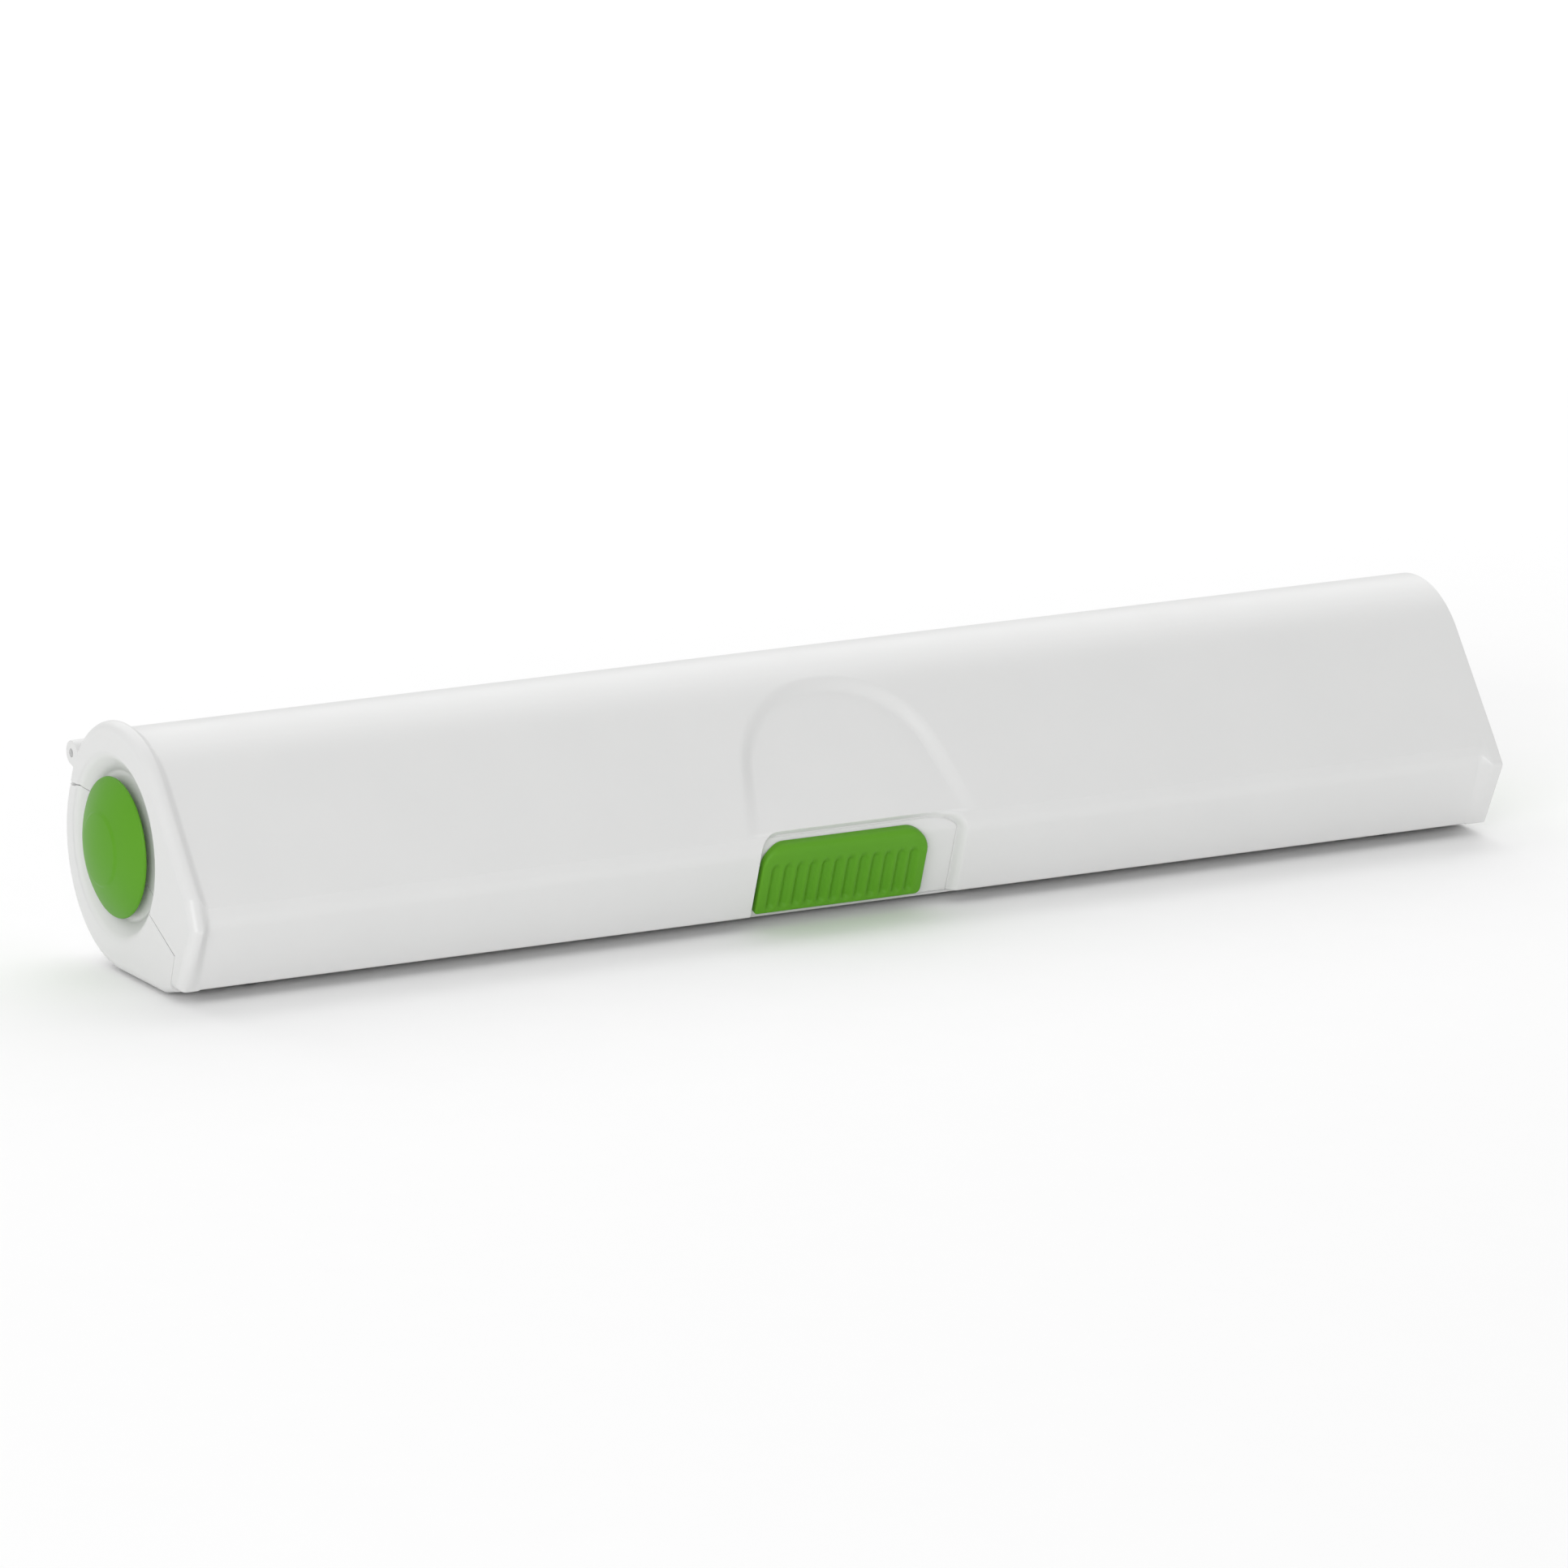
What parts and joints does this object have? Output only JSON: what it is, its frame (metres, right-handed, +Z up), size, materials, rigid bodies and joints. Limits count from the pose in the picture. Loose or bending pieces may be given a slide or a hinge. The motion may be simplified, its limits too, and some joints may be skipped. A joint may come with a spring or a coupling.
{
  "type": "cling film dispenser",
  "caption": "Long white two-part casing for a roll of cling film, with green end knobs, a green front slider latch and a hidden cutter blade.",
  "frame": {"origin": "middle of the footprint, on the surface that the feet stand on", "axes": "+X along the film roll towards the right end, -Y towards the front lip, +Z up"},
  "size_m": [0.3536, 0.0687, 0.0588],
  "materials": {
    "white_shell": "satin moulded",
    "green_plastic": "satin moulded",
    "steel": "cold rolled",
    "rubber": "matt",
    "board": "wound",
    "film": "clear"
  },
  "bodies": {
    "base": {"base_trough": "white_shell", "keeper_left": "white_shell", "keeper_right": "white_shell", "keeper_screws": "steel", "grip_strip": "rubber", "film_lead": "film", "foot_front_left": "rubber", "foot_front_right": "rubber", "foot_rear_left": "rubber", "foot_rear_right": "rubber"},
    "cover": {"top_cover": "white_shell", "hinge_pin_left": "steel", "hinge_pin_right": "steel", "cutter_blade": "steel", "blade_clamp": "white_shell", "blade_screws": "steel", "detent_spring": "steel"},
    "latch": {"latch_slider": "green_plastic", "latch_bar": "white_shell", "latch_screws": "steel"},
    "roll": {"knob_left": "green_plastic", "knob_right": "green_plastic", "core_plug_left": "white_shell", "core_plug_right": "white_shell", "plug_screws": "steel", "cardboard_core": "board", "film_roll": "film"}
  },
  "joints": [
    {"name": "cover_hinge", "type": "hinge", "parent": "base", "child": "cover", "pos_m": [0, 0.02965, 0.0471], "axis": [-1, 0, 0], "range_deg": [0, 110]},
    {"name": "latch_slide", "type": "slide", "parent": "cover", "child": "latch", "axis": [1, 0, 0], "range_m": [0, 0.0084]},
    {"name": "roll_spin", "type": "hinge", "parent": "base", "child": "roll", "pos_m": [0, 0.00885, 0.0292], "axis": [1, 0, 0], "continuous": true}
  ]
}
